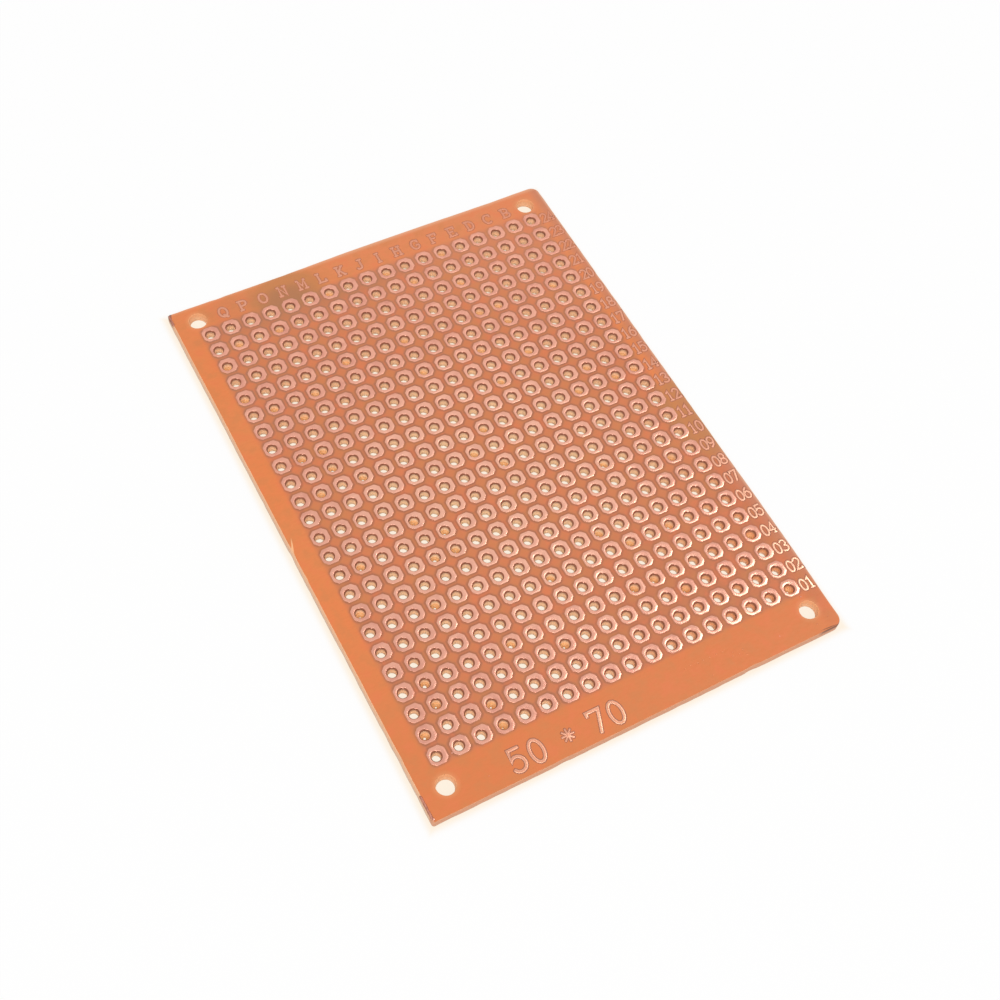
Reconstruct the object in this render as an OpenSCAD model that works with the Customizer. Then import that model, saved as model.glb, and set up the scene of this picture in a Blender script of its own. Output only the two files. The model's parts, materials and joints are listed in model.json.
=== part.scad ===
// Single-sided prototype board: a punched phenolic-paper laminate that carries a grid of separate
// eight-sided copper pads. The board lies flat, copper side up. The origin is the centre of the
// outline on the underside, +X runs along the lettered columns and +Y along the numbered rows.

/* [Laminate] */
// Width of the board, along a row of pads
board_w = 50; // [49.6:0.2:70]
// Length of the board, along a column of pads
board_l = 69.4; // [69:0.2:100]
// Thickness of the laminate without its copper
board_t = 1.2; // [0.8:0.1:2.4]
// Radius of the two corners beside column A
worn_corner_r = 1.1; // [0.5:0.1:1.6]
// Radius of the two corners beside the last column, as the shear left them
cut_corner_r = 0.3; // [0.1:0.1:1]

/* [Lead holes] */
// Distance between neighbouring lead holes, both ways
pitch = 2.54; // [2.5:0.01:2.56]
// Number of lettered columns
columns = 18; // [2:1:18]
// Number of numbered rows
rows = 24; // [2:1:24]
// Distance of the pad grid's centre from the board's centre, towards column A
grid_shift_x = 0.2; // [0:0.05:0.3]
// Distance of the pad grid's centre from the board's centre, towards the last row
grid_shift_y = 0.6; // [0:0.05:0.7]
// Bore of a lead hole
lead_d = 1; // [0.8:0.05:1.1]
// How much wider the drawn-in mouth is than the bore, on each side
mouth_flare = 0.13; // [0.06:0.01:0.2]
// Depth to which the punch draws the mouth in
mouth_depth = 0.2; // [0.1:0.05:0.4]
// How far the punched holes sit from the etched pads, across the board
punch_shift_x = -0.1; // [-0.15:0.01:0.15]
// How far the punched holes sit from the etched pads, along the board
punch_shift_y = -0.03; // [-0.15:0.01:0.15]

/* [Copper pads] */
// Thickness of the copper foil
foil_t = 0.035; // [0.018:0.001:0.07]
// Width of a pad, flat to flat
pad_w = 2.05; // [1.9:0.05:2.3]
// Length of a pad, flat to flat
pad_l = 2.1; // [1.9:0.05:2.3]
// How far each corner of a pad is cut back, along both sides
pad_cut = 0.5; // [0.35:0.05:0.6]

/* [Mounting holes] */
// Bore of the four mounting holes
mount_d = 2.1; // [1.6:0.1:2.6]
// Distance of the mounting holes from the long edges
mount_inset_x = 2.9; // [2.4:0.1:3.4]
// Distance of the mounting holes from the short edges
mount_inset_y = 2.7; // [2.2:0.1:3]
// Distance of the mounting pattern's centre from the board's centre, across
mount_shift_x = 0.05; // [0:0.05:0.2]
// Distance of the mounting pattern's centre from the board's centre, along
mount_shift_y = 0.25; // [0:0.05:0.4]

/* [Panel marks] */
// Width of the copper left on the edge by the panel's cutting marks
mark_w = 0.3; // [0.2:0.05:0.5]
// Length of the mark at the last row's corner
upper_mark_l = 1.6; // [1:0.1:2]
// Distance of that mark from the short edge
upper_mark_gap = 0.4; // [0.4:0.1:1]
// Length of the mark at the first row's corner
lower_mark_l = 2.7; // [1:0.1:3]
// Distance of that mark from the short edge
lower_mark_gap = 0.4; // [0.4:0.1:1]

/* [Hidden] */

lead_r = lead_d / 2;
mouth_r = lead_r + mouth_flare;
lip_r = lead_r + foil_t;             // outside of the drawn copper at its lower lip
over = 0.05;                         // how far a cutting tool runs past the face it cuts
phenolic = [0.87, 0.51, 0.31];
copper = [0.88, 0.64, 0.56];

function row_name(r) = str("pads_row_", r < 10 ? "0" : "", r);

// Column 1 is column A, on the +X side; row 1 is the one nearest the -Y edge
function column_x(c) = grid_shift_x + ((columns + 1) / 2 - c) * pitch;
function row_y(r) = grid_shift_y + (r - (rows + 1) / 2) * pitch;

// Outline of the sheared board
module board_outline() {
    x = board_w / 2;
    y = board_l / 2;
    corners = [[x, y, worn_corner_r], [-x, y, cut_corner_r], [-x, -y, cut_corner_r],
               [x, -y, worn_corner_r]];
    difference() {
        square([board_w, board_l], center = true);
        for (p = corners) corner_cut(p.x, p.y, p[2]);
    }
}

// What the rounding takes off the corner at x, y
module corner_cut(x, y, r) {
    translate([x - sign(x) * r, y - sign(y) * r])
        scale([sign(x), sign(y)])
            difference() {
                square(r + over);
                circle(r = r, $fn = 48);
            }
}

// Outline of one etched pad: a rectangle with its four corners cut back
module pad_outline() {
    x = pad_w / 2;
    y = pad_l / 2;
    polygon([[x, y - pad_cut], [x - pad_cut, y], [pad_cut - x, y], [-x, y - pad_cut],
             [-x, pad_cut - y], [pad_cut - x, -y], [x - pad_cut, -y], [x, pad_cut - y]]);
}

// A cone that opens from r_low at the height of the drawn lip to r_high at the height top,
// and runs on past the top with the same taper
module mouth_cone(r_low, r_high, top) {
    depth = mouth_depth + top;
    taper = (r_high - r_low) / depth;
    translate([0, 0, -mouth_depth])
        cylinder(h = depth + over, r1 = r_low, r2 = r_high + over * taper, $fn = 32);
}

// The punched hole that a lead goes through, measured down from the top of the laminate
module lead_hole() {
    translate([0, 0, -board_t - over])
        cylinder(h = board_t + 2 * over, r = lead_r, $fn = 32);
    mouth_cone(lip_r, mouth_r, 0);
}

// Each lead hole's place in row r
module at_lead_holes(r) {
    for (c = [1:columns])
        translate([column_x(c) + punch_shift_x, row_y(r) + punch_shift_y])
            children();
}

module at_mounting_holes() {
    for (sx = [-1, 1], sy = [-1, 1])
        translate([mount_shift_x + sx * (board_w / 2 - mount_inset_x),
                   mount_shift_y + sy * (board_l / 2 - mount_inset_y)])
            children();
}

// Phenolic-paper sheet, with the lead holes and the mounting holes punched through it
module laminate() {
    color(phenolic)
        difference() {
            linear_extrude(board_t)
                difference() {
                    board_outline();
                    at_mounting_holes() circle(d = mount_d, $fn = 64);
                }
            for (r = [1:rows])
                at_lead_holes(r)
                    translate([0, 0, board_t]) lead_hole();
        }
}

// One pad: the flat foil and the collar that the punch draws down into the hole's mouth
module pad() {
    difference() {
        union() {
            linear_extrude(foil_t) pad_outline();
            translate([punch_shift_x, punch_shift_y, -mouth_depth])
                cylinder(h = mouth_depth, r1 = lip_r, r2 = mouth_r, $fn = 32);
        }
        translate([punch_shift_x, punch_shift_y])
            mouth_cone(lead_r, mouth_r, foil_t);
    }
}

// The separate pads of one row
module pads_row(r) {
    color(copper)
        for (c = [1:columns])
            translate([column_x(c), row_y(r), board_t]) pad();
}

// Two slips of foil on the long edge, where the shear cut through the panel's marks
module panel_marks() {
    color(copper)
        translate([-board_w / 2, 0, board_t]) {
            translate([0, board_l / 2 - upper_mark_gap - upper_mark_l])
                cube([mark_w, upper_mark_l, foil_t]);
            translate([0, lower_mark_gap - board_l / 2])
                cube([mark_w, lower_mark_l, foil_t]);
        }
}

laminate();
for (r = [1:rows])
    pads_row(r);
panel_marks();
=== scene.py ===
"""Dresses the prototype board: the punched laminate, its copper pads, foil lettering and studio."""
import json
import math
import random

import bpy
from bpy.props import FloatProperty, FloatVectorProperty, PointerProperty
from bpy.types import Operator, Panel, PropertyGroup
from mathutils import Matrix, Vector, noise
from mathutils.geometry import delaunay_2d_cdt


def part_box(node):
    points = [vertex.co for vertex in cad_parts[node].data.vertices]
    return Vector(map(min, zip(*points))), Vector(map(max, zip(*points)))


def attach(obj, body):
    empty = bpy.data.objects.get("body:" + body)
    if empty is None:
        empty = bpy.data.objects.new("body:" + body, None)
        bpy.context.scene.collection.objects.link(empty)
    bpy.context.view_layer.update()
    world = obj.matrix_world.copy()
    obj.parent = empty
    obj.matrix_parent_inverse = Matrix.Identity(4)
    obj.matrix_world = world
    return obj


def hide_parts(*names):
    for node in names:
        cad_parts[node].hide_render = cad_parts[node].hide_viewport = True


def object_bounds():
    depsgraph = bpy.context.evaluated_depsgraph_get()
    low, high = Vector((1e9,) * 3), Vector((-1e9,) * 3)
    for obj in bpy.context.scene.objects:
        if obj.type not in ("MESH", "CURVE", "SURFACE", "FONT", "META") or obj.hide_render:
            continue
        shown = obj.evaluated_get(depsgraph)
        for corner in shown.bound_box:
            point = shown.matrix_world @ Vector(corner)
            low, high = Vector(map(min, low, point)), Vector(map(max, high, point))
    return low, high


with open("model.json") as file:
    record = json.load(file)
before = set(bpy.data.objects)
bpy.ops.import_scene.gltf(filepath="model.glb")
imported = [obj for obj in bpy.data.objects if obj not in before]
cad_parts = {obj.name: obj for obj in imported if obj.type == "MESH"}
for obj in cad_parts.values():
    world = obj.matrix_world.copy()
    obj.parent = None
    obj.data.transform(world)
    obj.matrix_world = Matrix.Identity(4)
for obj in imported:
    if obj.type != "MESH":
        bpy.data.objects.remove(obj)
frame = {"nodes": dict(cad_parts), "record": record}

bl_info = {
    "name": "Prototype Board",
    "version": (1, 0, 0),
    "blender": (4, 5, 0),
    "location": "View3D > Sidebar > Prototype Board",
    "description": "Builds the laminate, copper pads, foil lettering and studio of a prototype board",
    "category": "Add Mesh",
}

MM = 0.001

# ------------ what the frame says

CAD_LOW, CAD_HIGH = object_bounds()
BOARD_LOW, BOARD_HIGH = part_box("laminate")
PAD_ROWS = sorted(name for name in frame["nodes"] if name.startswith("pads_row_"))
FIRST_LOW, FIRST_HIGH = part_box(PAD_ROWS[0])
LAST_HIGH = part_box(PAD_ROWS[-1])[1]
MARKS_LOW, MARKS_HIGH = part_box("panel_marks")
MOUNTS = {mount["name"]: mount for mount in frame["record"]["mounts"]}
LEADS, SCREWS = MOUNTS["lead_holes"], MOUNTS["mounting_holes"]

TOP = BOARD_HIGH.z                       # the laminate's face, under the copper
FOIL_TOP = FIRST_HIGH.z                  # the copper's own face
FOIL = FOIL_TOP - TOP                    # the copper's thickness
ROWS = len(PAD_ROWS)
COLUMNS = LEADS["dims"]["count"] // ROWS
PITCH = LEADS["dims"]["spacing_x_mm"] * MM
LEAD_R = LEADS["dims"]["hole_r_mm"] * MM
SCREW_R = SCREWS["dims"]["hole_r_mm"] * MM
GRID = Vector(((FIRST_LOW.x + FIRST_HIGH.x) / 2, (FIRST_LOW.y + LAST_HIGH.y) / 2))
PUNCH_SHIFT = Vector(LEADS["pos_m"][:2]) - GRID
PAD_SIZE = Vector((FIRST_HIGH.x - FIRST_LOW.x - (COLUMNS - 1) * PITCH, FIRST_HIGH.y - FIRST_LOW.y))

PUNCH_SEED, TEAR_SEED, PAD_SEED = 0, 7000, 50000   # where the random draws of each kind start
SLIP_SEED, FLECK_SEED, BEAD_SEED = 5, 11, 3
FACE, EDGE, WALL, BACK, SKIN, BORE = range(6)      # the sheet's finishes, in the order it has them
LEAD_POINTS, SCREW_POINTS = 24, 56                 # points round a lead hole and a mounting hole
FLAPPED, SKINNED = 0.12, 0.15                      # shares of the lead holes with a torn exit
# A halo is a thin sheet of painted shade under a letter.
HALO_REACH, HALO_RISE = 0.17 * MM, 0.004 * MM      # how much wider than its stroke, and how high


def paint(red, green, blue):
    """A colour as a paint chart shows it, turned into the linear values that Blender uses."""
    return tuple(c / 12.92 if c <= 0.04045 else ((c + 0.055) / 1.055) ** 2.4
                 for c in (red, green, blue))


def length(name, description, millimetres):
    return FloatProperty(name=name, description=description, default=millimetres * MM,
                         unit="LENGTH", subtype="DISTANCE", precision=6)


def degrees(name, description, default):
    return FloatProperty(name=name, description=description, default=math.radians(default),
                         subtype="ANGLE", unit="ROTATION")


def amount(name, description, default, **limits):
    return FloatProperty(name=name, description=description, default=default, min=0.0, **limits)


def colour(name, description, *shades):
    return FloatVectorProperty(name=name, description=description, default=paint(*shades),
                               subtype="COLOR", size=3, min=0.0, max=1.0)


# ------------ sizes and colours

class BoardSizes(PropertyGroup):
    """Sizes that the frame doesn't hold."""
    pad_corner_cut: length("Pad corner cut", "How far each corner of a pad is cut back", 0.5)
    mouth_flare: length("Mouth flare", "How much wider a hole's drawn-in mouth is than its bore",
                        0.15)
    mouth_depth: length("Mouth depth", "How deep the punch draws the copper into a hole", 0.2)
    lip: length("Lip", "Thickness of the drawn copper at its lower end", 0.035)
    worn_corner: length("Worn corner radius", "Radius of the two corners beside column A", 1.1)
    cut_corner: length("Cut corner radius", "Radius of the two corners beside the last column", 0.3)
    edge_wander: length("Edge wander", "How far the sheared edge wanders inwards", 0.11)
    edge_skew: length("Edge skew", "How far the shear ran off square at two corners", 0.2)
    letter_height: length("Letter height", "Height of the column letters and row numbers", 1.38)
    figure_height: length("Figure height", "Height of the figures in the lower margin", 2.5)


class BoardColours(PropertyGroup):
    """Paint-chart colours of the board's materials."""
    phenolic: colour("Phenolic", "Open face of the laminate", 0.87, 0.485, 0.25)
    # phenolic_shade is painted shade: the laminate darker over the grid and close to the copper, where
    # the foil keeps light from scattering in the sheet
    phenolic_shade: colour("Deep phenolic", "Laminate close to the copper", 0.745, 0.435, 0.285)
    stain: colour("Stain", "Flux and storage stains", 0.72, 0.47, 0.26)
    # edge_pale is partly crushed fibres and partly painted light on the top of the sheared edge;
    # edge_dark is painted shade on its lower half, and also tints the ring round each punch's exit
    # underneath
    edge_pale: colour("Pale edge", "Crushed fibres at the sheared edge", 0.91, 0.72, 0.57)
    edge_dark: colour("Dark edge", "Lower half of the sheared edge", 0.85, 0.73, 0.64)
    # painted light: the wall is paler than the face, for light that soaks through the sheet from the
    # floor
    wall: colour("Hole wall", "Punched wall of a hole", 1.0, 0.83, 0.66)
    copper: colour("Copper", "Bare foil", 0.90, 0.66, 0.57)
    tarnish: colour("Tarnish", "Dulled foil", 0.79, 0.54, 0.47)
    # Besides crushing and tarnish, this colour paints shade: on the top of each hole's wall under the
    # collar, and on the collar inside each hole
    bruise_and_shade: colour("Bruise", "Foil and paper crushed by the punch or the shear", 0.60, 0.36, 0.25)


class StudioSettings(PropertyGroup):
    """Camera, floor and light."""
    lens: FloatProperty(name="Lens", description="Focal length", default=52.0, unit="CAMERA")
    azimuth: degrees("Azimuth", "Camera's bearing round the board", -35.615)
    elevation: degrees("Elevation", "Camera's height above the horizon", 58.278)
    roll: degrees("Roll", "Camera's turn about its own axis", 8.551)
    distance: length("Distance", "From the camera to the point it aims at", 162.04)
    aim: FloatVectorProperty(name="Aim", description="The point that the camera aims at", size=3,
                             default=(-1.087 * MM, -4.371 * MM, 0.0), subtype="TRANSLATION",
                             unit="LENGTH")
    world_level: amount("World level", "Strength of the even light", 0.645)
    sheen_power: amount("Sheen lamp", "Power of the small lamp that the copper glints in", 0.62,
                        unit="POWER")
    fill_power: amount("Fill lamp", "Power of the broad lamp beside the camera", 2.8, unit="POWER")
    floor_glow: amount("Floor whiteness", "Share of the backdrop that shows as plain white", 0.92,
                       max=1.0)


# ------------ shader expressions

class Signal:
    """A shader socket. Arithmetic on it adds Math nodes."""

    def __init__(self, finish, socket):
        self.finish, self.socket = finish, socket

    def math(self, operation, first, second=0.0):
        return self.finish.node("Math", {0: first, 1: second}, operation=operation)

    def __add__(self, other):
        return self.math("ADD", self, other)

    def __sub__(self, other):
        return self.math("SUBTRACT", self, other)

    def __rsub__(self, other):
        return self.math("SUBTRACT", other, self)

    def __mul__(self, other):
        return self.math("MULTIPLY", self, other)

    def __abs__(self):
        return self.math("ABSOLUTE", self)

    __radd__, __rmul__ = __add__, __mul__

    def at_least(self, other):
        return self.math("MAXIMUM", self, other)

    def at_most(self, other):
        return self.math("MINIMUM", self, other)

    def to_nearest(self, spacing):
        """Distance to the nearest multiple of spacing."""
        return self.math("PINGPONG", self, spacing / 2)

    def rise(self, low, high):
        """0 below low, 1 above high, and smooth between them. low may be the larger one."""
        return self.finish.node("MapRange", {"Value": self, "From Min": low, "From Max": high},
                                interpolation_type="SMOOTHSTEP")


class Finish:
    """The nodes of one material, or of the world."""

    def __init__(self, owner):
        owner.use_nodes = True
        self.owner, self.tree, self.place = owner, owner.node_tree, None
        self.tree.nodes.clear()

    def node(self, kind, sockets=None, output=0, **settings):
        """Adds a shader node: its settings first, then its sockets' values or links."""
        made = self.tree.nodes.new("ShaderNode" + kind)
        for key, value in settings.items():
            setattr(made, key, value)
        for key, value in (sockets or {}).items():
            if isinstance(value, Signal):
                self.tree.links.new(value.socket, made.inputs[key])
            else:
                made.inputs[key].default_value = value
        return Signal(self, made.outputs[output]) if len(made.outputs) else made

    def noise(self, scale, detail, roughness=0.5, stretch=None):
        """Soft noise over the place. stretch multiplies the place's x, y and z first."""
        spot = self.place
        if stretch:
            spot = self.node("VectorMath", {0: spot, 1: stretch}, operation="MULTIPLY")
        return self.node("TexNoise", {"Vector": spot, "Scale": scale, "Detail": detail,
                                      "Roughness": roughness}, noise_dimensions="3D")

    def blend(self, factor, first, second):
        """first where factor is 0, second where it is 1: sockets, colours of the board, or
        paint-chart colours as tuples."""
        ends = [paint(*c) if isinstance(c, tuple) else c for c in (first, second)]
        first, second = (c if isinstance(c, Signal) else (*c, 1.0) for c in ends)
        return self.node("Mix", {0: factor, 6: first, 7: second}, output=2, data_type="RGBA")

    def coats(self, tone, *coats):
        """Lays coats over a tone, each as strongly as its mask says."""
        for mask, coat in coats:
            tone = self.blend(mask, tone, coat)
        return tone

    def seen_plainly(self):
        """1 for what the eye, metal and glass see, 0 for the light that falls on matt things."""
        path = self.node("LightPath").socket.node.outputs
        camera, glossy, through = (Signal(self, path[f"Is {kind} Ray"])
                                   for kind in ("Camera", "Glossy", "Transmission"))
        return strongest(camera, glossy, through)

    def ending(self, shader, kind="Material"):
        self.node("Output" + kind, {"Surface": shader})
        return self.owner

    def surface(self, relief=None, **sockets):
        """Ends the material in a Principled shader with these sockets. relief is the height of
        the surface's bumps, how many metres one unit of it stands for, and their strength."""
        if relief:
            height, distance, strength = relief
            sockets["Normal"] = self.node("Bump", {"Height": height, "Distance": distance,
                                                   "Strength": strength})
        return self.ending(self.node("BsdfPrincipled", {
            name.replace("_", " "): value for name, value in sockets.items()}))


def new_finish(name):
    """A new material, and the x, y and z of a point's place on the object, in millimetres."""
    finish = Finish(bpy.data.materials.new(name))
    point = finish.node("TexCoord", output=3)
    finish.place = finish.node("VectorMath", {0: point, "Scale": 1 / MM}, operation="SCALE")
    parts = finish.node("SeparateXYZ", {0: finish.place}).socket.node.outputs
    return finish, *(Signal(finish, socket) for socket in parts)


# ------------ masks, in millimetres

def strongest(first, *others):
    """The highest of several masks at each point."""
    for other in others:
        first = first.at_least(other)
    return first


def from_pad_centre(x, y):
    """Distances from a point to the nearest pad's centre, across and along."""
    return ((x - GRID.x / MM + PITCH / MM / 2 * (COLUMNS - 1)).to_nearest(PITCH / MM),
            (y - GRID.y / MM + PITCH / MM / 2 * (ROWS - 1)).to_nearest(PITCH / MM))


def pad_gap(x, y):
    """Distance from a point to the nearest pad's outline, negative on the pad."""
    u, v = from_pad_centre(x, y)
    cut = bpy.context.scene.board_sizes.pad_corner_cut / MM
    half_w, half_l = PAD_SIZE.x / MM / 2, PAD_SIZE.y / MM / 2
    corner = (u + v - (half_w + half_l - cut)) * math.sqrt(0.5)
    return strongest(u - half_w, v - half_l, corner)


def over_grid(x, y):
    """1 over the grid of pads, 0 in the open margins."""
    reach_x, reach_y = PITCH / MM / 2 * COLUMNS, PITCH / MM / 2 * ROWS
    across = abs(x - GRID.x / MM).rise(reach_x + 0.15, reach_x - 0.5)
    along = abs(y - GRID.y / MM).rise(reach_y + 0.15, reach_y - 0.5)
    return across * along


def patch(x, y, centre, size, turn=0.0):
    """1 at a place on the board, fading to 0 at an ellipse round it, turned by so many degrees."""
    c, s = math.cos(math.radians(turn)), math.sin(math.radians(turn))
    dx, dy = x - centre[0], y - centre[1]
    u = (dx * c + dy * s) * (1 / size[0])
    v = (dy * c - dx * s) * (1 / size[1])
    return (u * u + v * v).rise(1.0, 0.0)


# ------------ finishes

def phenolic_finish():
    """Orange-brown face: soft mottling, paper grain, painted shade over the grid, round the pads and at
    two corners, and old stains.
    """
    paints = bpy.context.scene.board_colours
    finish, x, y, _ = new_finish("phenolic_face")
    clouds = finish.noise(0.11, 3.0)
    fibres = finish.noise(2.6, 4.0, 0.6, (0.5, 1.6, 1.0))
    speckle = finish.noise(7.0, 2.0)
    mottle = finish.noise(0.6, 3.0, 0.6)
    gap, grid = pad_gap(x, y), over_grid(x, y)
    high_x, low_x, high_y = BOARD_HIGH.x / MM, BOARD_LOW.x / MM, BOARD_HIGH.y / MM
    rim_shade = finish.blend(y.rise(0.0, 25.0), (0.57, 0.35, 0.24), (0.58, 0.40, 0.31))
    beside_rows = patch(x, y, (23.8, -19.0), (2.2, 18.0))
    screw_rims = [patch(x, y, hole / MM, (1.65, 1.65)) for hole in screw_centres()]
    worn = patch(x, y, (12.0, -24.0), (18.0, 14.0)) * grid
    far_light = (x * 0.4 + y).rise(15.0, 42.0)
    dull_side = x.rise(high_x - 1.8, high_x - 0.4) * y.rise(-32.0, -24.0)
    # painted shade: a dark line along the sheared corner at the front of the +X side
    shaded_corner_line = patch(x, y, (23.0, -34.5), (1.3, 0.07), -4)
    stains = strongest(patch(x, y, (-10.8, 32.0), (5.8, 3.4)), patch(x, y, (24.0, -4.5), (3.2, 7.5)))
    seeped = strongest(patch(x, y, (-11.3, 31.2), (4.4, 2.4)),
                       patch(x, y, (-8.0, 29.2), (18.0, 1.7)) * 0.6,
                       patch(x, y, (-17.5, 32.3), (5.0, 2.6)) * 0.35)
    scratches = strongest(patch(x, y, (-24.6, -0.6), (1.45, 0.11), 74),
                          patch(x, y, (-24.83, -1.0), (0.95, 0.07), 73),
                          patch(x, y, (-24.96, -4.7), (0.95, 0.28), 88))
    # painted shade: the dark sliver of foil at the far corner of the -X side
    corner_shade = (0.66 - (high_y - y) * 0.34 - (x - low_x)).rise(0.0, 0.1)
    face = finish.coats(
        paints.phenolic,
        (clouds.rise(0.3, 0.75) * 0.55, (0.85, 0.505, 0.28)),
        (fibres.rise(0.35, 0.8) * 0.35, (0.82, 0.44, 0.23)),
        (y.rise(-8.0, -30.0) * 0.45, (0.80, 0.43, 0.22)),
        # painted shade over the grid of pads, deepest close to each pad
        ((gap.rise(0.42, 0.08) * 0.35 + 0.62) * grid, paints.phenolic_shade),
        (gap.rise(0.3, 0.02) * grid * 0.64, rim_shade),
        (beside_rows * 0.7, (0.71, 0.39, 0.26)),
        *((rim * 0.4, (0.93, 0.70, 0.50)) for rim in screw_rims),
        (worn * 0.45, (0.70, 0.40, 0.25)),
        (far_light * 0.4, (0.84, 0.53, 0.38)),
        (mottle.rise(0.45, 0.7) * 0.4, (0.77, 0.48, 0.26)),
        (mottle.rise(0.5, 0.3) * 0.35, (0.88, 0.45, 0.27)),
        (dull_side * 0.7, (0.75, 0.47, 0.35)),
        (x.rise(high_x - 0.5, high_x) * 0.6, (0.88, 0.70, 0.58)),
        (y.rise(high_y - 0.75, high_y) * 0.6, (0.90, 0.70, 0.56)),
        (shaded_corner_line * 0.9, (0.42, 0.27, 0.20)),
        ((stains * 1.2).at_most(0.7), paints.stain),
        (seeped * 0.55, (0.60, 0.41, 0.29)),
        (scratches * 0.8, (0.98, 0.77, 0.57)),
        (corner_shade * 0.85, (0.44, 0.31, 0.25)))
    return finish.surface(Base_Color=face, Roughness=fibres.rise(0.0, 1.0) * 0.15 + 0.42,
                          IOR=1.5, relief=(fibres * 0.6 + speckle * 0.4, 0.012 * MM, 0.5))


def edge_finish():
    """Sheared edge: a cream line above, partly crushed fibres and partly painted light, and a greyer
    lower half in painted shade where the edge meets the floor.
    """
    paints = bpy.context.scene.board_colours
    finish, x, y, z = new_finish("sheared_edge")
    torn = finish.noise(1.8, 4.0, 0.65, (1.0, 1.0, 3.0))
    plies = finish.noise(1.5, 3.0, 0.6, (0.25, 0.25, 9.0))
    top, front = TOP / MM, BOARD_LOW.y / MM
    # painted shade on the upper edge at the same two corners
    corners = strongest(patch(x, y, (-24.9, 34.3), (1.2, 2.0)), patch(x, y, (23.2, -34.7), (1.9, 1.0)))
    tone = finish.coats(
        paints.edge_pale,
        # painted shade on the lower half of the edge, where it meets the floor
        ((z + torn * 0.5 - 0.25).rise(top * 0.8, top * 0.35), paints.edge_dark),
        (y.rise(front + 1.0, front + 0.4) * 0.8, (0.82, 0.56, 0.42)),
        (plies.rise(0.45, 0.75) * 0.35, (0.88, 0.66, 0.50)),
        (corners * z.rise(top * 0.35, top * 0.9) * 0.9, (0.45, 0.28, 0.22)))
    return finish.surface(Base_Color=tone, Roughness=0.75, relief=(torn + plies * 0.5, 0.06 * MM, 0.8))


def wall_finish():
    """Wall of a punched hole: painted shade under the foil, tan below, and paler with painted light that
    soaks through the sheet, palest at the exit.
    """
    paints = bpy.context.scene.board_colours
    finish, x, y, z = new_finish("punched_wall")
    rubbed = finish.noise(1.2, 3.0, 0.6, (6.0, 6.0, 0.8))
    top = TOP / MM
    tone = finish.coats(
        # the wall's tone, paler with painted light that soaks through the sheet
        paints.wall,
        (rubbed.rise(0.35, 0.75) * 0.6, (0.96, 0.74, 0.55)),
        (patch(x, y, (-2.0, -3.0), (24.0, 24.0)) * 0.8, (1.0, 0.87, 0.71)),
        ((x - y).rise(22.0, 46.0) * 0.8, (0.97, 0.66, 0.42)),
        # painted light from the floor: the wall palest at its lower end
        (z.rise(top * 0.55, top * 0.05) * 0.85, (1.0, 0.91, 0.78)),
        # painted shade under the copper collar
        ((z + rubbed * 0.2).rise(top * 0.5, top * 1.05) * 0.9, paints.bruise_and_shade))
    return finish.surface(Base_Color=tone, Roughness=0.6, relief=(rubbed, 0.03 * MM, 0.6))


def bore_finish():
    """Wall of a mounting hole: clean, pale and soft, and palest below with painted light that comes up
    through the hole.
    """
    finish, _, _, z = new_finish("bore_wall")
    rubbed = finish.noise(1.2, 3.0, 0.6, (4.0, 4.0, 0.8))
    # painted light: the wall palest towards its lower end
    depth = (z + rubbed * 0.3).rise(TOP / MM * 1.1, TOP / MM * 0.4)
    tone = finish.blend(depth, (0.93, 0.66, 0.46), (0.97, 0.79, 0.62))
    return finish.surface(Base_Color=tone, Roughness=0.7, relief=(rubbed, 0.015 * MM, 0.4))


def cloudy_finish(name, clouds, first, second, roughness):
    """Plain resin: two close tones in soft clouds, given by their scale, detail and roughness."""
    finish, *_ = new_finish(name)
    tone = finish.blend(finish.noise(*clouds), first, second)
    return finish.surface(Base_Color=tone, Roughness=roughness)


def underside_finish():
    """Bare back of the sheet: duller, with a paler ring where each punch broke out."""
    paints = bpy.context.scene.board_colours
    finish, x, y, _ = new_finish("bare_underside")
    clouds = finish.noise(0.2, 4.0)
    grain = finish.noise(2.0, 4.0, 0.65, (1.5, 0.5, 1.0))
    ring = pad_gap(x, y).rise(-0.15, -0.45) * over_grid(x, y)
    face = finish.coats(paints.phenolic, (clouds.rise(0.3, 0.7) * 0.5, (0.80, 0.46, 0.28)),
                        (ring * 0.45, paints.edge_dark))
    return finish.surface(Base_Color=face, Roughness=grain * 0.2 + 0.45, relief=(grain, 0.02 * MM, 0.5))


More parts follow.
